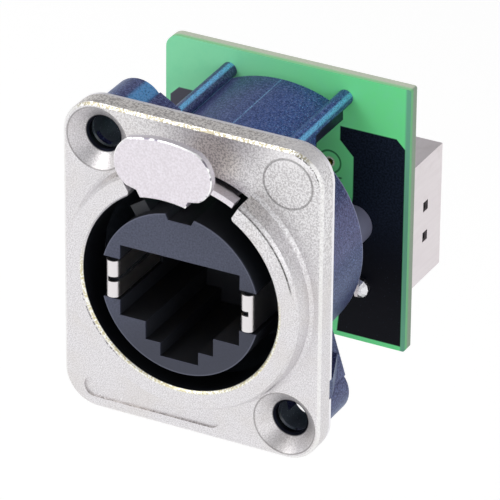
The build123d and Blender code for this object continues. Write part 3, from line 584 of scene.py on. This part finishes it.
def ring_tree():
    """Puts one flat ring at each point of a mesh, standing in the plane of the board."""
    tree = bpy.data.node_groups.new("board_rings", "GeometryNodeTree")
    sockets = tree.interface
    sockets.new_socket("Points", in_out="INPUT", socket_type="NodeSocketGeometry")
    for name in ("Ring radius", "Ring width", "Ring thickness"):
        sockets.new_socket(name, in_out="INPUT", socket_type="NodeSocketFloat")
    sockets.new_socket("Ring sides", in_out="INPUT", socket_type="NodeSocketInt")
    sockets.new_socket("Finish", in_out="INPUT", socket_type="NodeSocketMaterial")
    sockets.new_socket("Rings", in_out="OUTPUT", socket_type="NodeSocketGeometry")
    rings = Nodes(tree)
    given = {socket.name: Wire(rings, socket) for socket in tree.nodes.new("NodeGroupInput").outputs}
    circle = {"Resolution": given["Ring sides"], "Radius": given["Ring radius"]}
    section = {"Width": given["Ring width"], "Height": given["Ring thickness"]}
    sweep = {
        "Curve": rings.node("GeometryNodeCurvePrimitiveCircle", {}, circle, "Curve"),
        "Profile Curve": rings.node("GeometryNodeCurvePrimitiveQuadrilateral", {}, section, "Curve"),
    }
    upright = {
        "Points": given["Points"],
        "Instance": rings.node("GeometryNodeCurveToMesh", {}, sweep, "Mesh"),
        "Rotation": (radians(90), 0, 0),
    }
    made = rings.node("GeometryNodeInstanceOnPoints", {}, upright, "Instances")
    flat = {"Geometry": made, "Shade Smooth": False}
    made = rings.node("GeometryNodeSetShadeSmooth", {}, flat, "Geometry")
    made = rings.node("GeometryNodeRealizeInstances", {}, {"Geometry": made}, "Geometry")
    finished = {"Geometry": made, "Material": given["Finish"]}
    made = rings.node("GeometryNodeSetMaterial", {}, finished, "Geometry")
    rings.end("NodeGroupOutput", "Rings", made)
    return tree


def repeated(name, tree, points, sizes):
    """A plain mesh of what a tree puts at each of some points, with its sizes given by name."""
    mesh = bpy.data.meshes.new(name)
    mesh.from_pydata(points, [], [])
    piece = bpy.data.objects.new(name, mesh)
    bpy.context.scene.collection.objects.link(piece)
    modifier = piece.modifiers.new(name, "NODES")
    modifier.node_group = tree
    sockets = {
        item.name: item.identifier for item in tree.interface.items_tree if item.in_out == "INPUT"
    }
    for label, value in sizes.items():
        modifier[sockets[label]] = value
    bpy.context.view_layer.update()
    seen = piece.evaluated_get(bpy.context.evaluated_depsgraph_get())
    made = bpy.data.meshes.new_from_object(seen)
    piece.modifiers.clear()
    piece.data = made
    return piece


def two_rows(y, high, low):
    """The places of eight tails, one pitch apart, in the low row and the high row by turns."""
    return [place((i - 3.5) * TAIL_PITCH, y, high if i % 2 else low) for i in range(8)]


PAD_STANDS_OUT = 0.01
pad_places = two_rows(BOARD_BACK + PAD_STANDS_OUT, FRONT_TAILS_HIGH, FRONT_TAILS_LOW)
pad_places += two_rows(BOARD_FRONT - PAD_STANDS_OUT, REAR_TAILS_HIGH, REAR_TAILS_LOW)
pad_sizes = {
    "Ring radius": 0.66 * MM,
    "Ring width": 0.36 * MM,
    "Ring thickness": 0.04 * MM,
    "Ring sides": 24,
    "Finish": finishes["solder"],
}
pads = repeated("contact_pads", ring_tree(), pad_places, pad_sizes)
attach(pads, "frame")


# Floor, backdrop light and lamps

FLOOR_HALF_WIDTH = 4.0
FLOOR_BELOW = -60

floor_mesh = bpy.data.meshes.new("floor")
form = bmesh.new()
bmesh.ops.create_grid(form, x_segments=1, y_segments=1, size=FLOOR_HALF_WIDTH)
form.to_mesh(floor_mesh)
form.free()
floor_mesh.transform(Matrix.Translation(place(0, 0, FLOOR_BELOW)))
floor = bpy.data.objects.new("floor", floor_mesh)
bpy.context.scene.collection.objects.link(floor)


def seen_directly(shading):
    """1 for what a camera, gloss or clear piece looks at, 0 for light that falls on the object."""
    camera_ray, glossy_ray, clear_ray = (
        shading.node("ShaderNodeLightPath", {}, {}, f"Is {kind} Ray")
        for kind in ("Camera", "Glossy", "Transmission")
    )
    return camera_ray.most(glossy_ray).most(clear_ray)


floor_paint = Paint("pale_floor", (0.82, 0.82, 0.82), 0.0, 0.9)
looked_at = seen_directly(floor_paint)
floor_paint.set("Emission Color", floor_paint.blend(looked_at, (0, 0, 0), (1, 1, 1)))
floor_paint.set("Emission Strength", 0.3)
floor_mesh.materials.append(floor_paint.material)

world = bpy.data.worlds.new("studio")
bpy.context.scene.world = world
world.use_nodes = True
sky = Nodes(world.node_tree)
sky.tree.nodes.clear()
direction = sky.node("ShaderNodeTexCoord", {}, {}, "Generated")
upwards = sky.node("ShaderNodeSeparateXYZ", {}, {0: direction}, "Z")
darker_above = {"stops": ((0.08, (1, 1, 1, 1)), (0.45, (0.42, 0.42, 0.43, 1)))}
reflected = sky.node("ShaderNodeValToRGB", darker_above, {"Fac": upwards}, "Color")
camera_ray = sky.node("ShaderNodeLightPath", {}, {}, "Is Camera Ray")
paper = sky.blend(camera_ray, reflected, (1, 1, 1))
bright = sky.node("ShaderNodeBackground", {}, {"Color": paper, "Strength": 1.0})
soft = sky.node("ShaderNodeBackground", {}, {"Color": (1, 1, 1, 1), "Strength": 0.62})
studio = sky.node("ShaderNodeMixShader", {}, {0: seen_directly(sky), 1: soft, 2: bright})
sky.end("ShaderNodeOutputWorld", "Surface", studio)


def lamp(name, position, size, power):
    """A square soft lamp, turned towards the object, with its place and size in metres."""
    light = bpy.data.lights.new(name, "AREA")
    light.size = size
    light.energy = power
    lit = bpy.data.objects.new(name, light)
    lit.location = position
    lit.rotation_euler = (-Vector(position)).to_track_quat("-Z", "Y").to_euler()
    bpy.context.scene.collection.objects.link(lit)


lamp("key_lamp", position=(-0.42, -0.3, 0.6), size=0.35, power=2.0)
lamp("side_lamp", position=(0.6, -0.25, 0.3), size=0.3, power=0.7)

bpy.context.scene.view_settings.view_transform = "Standard"
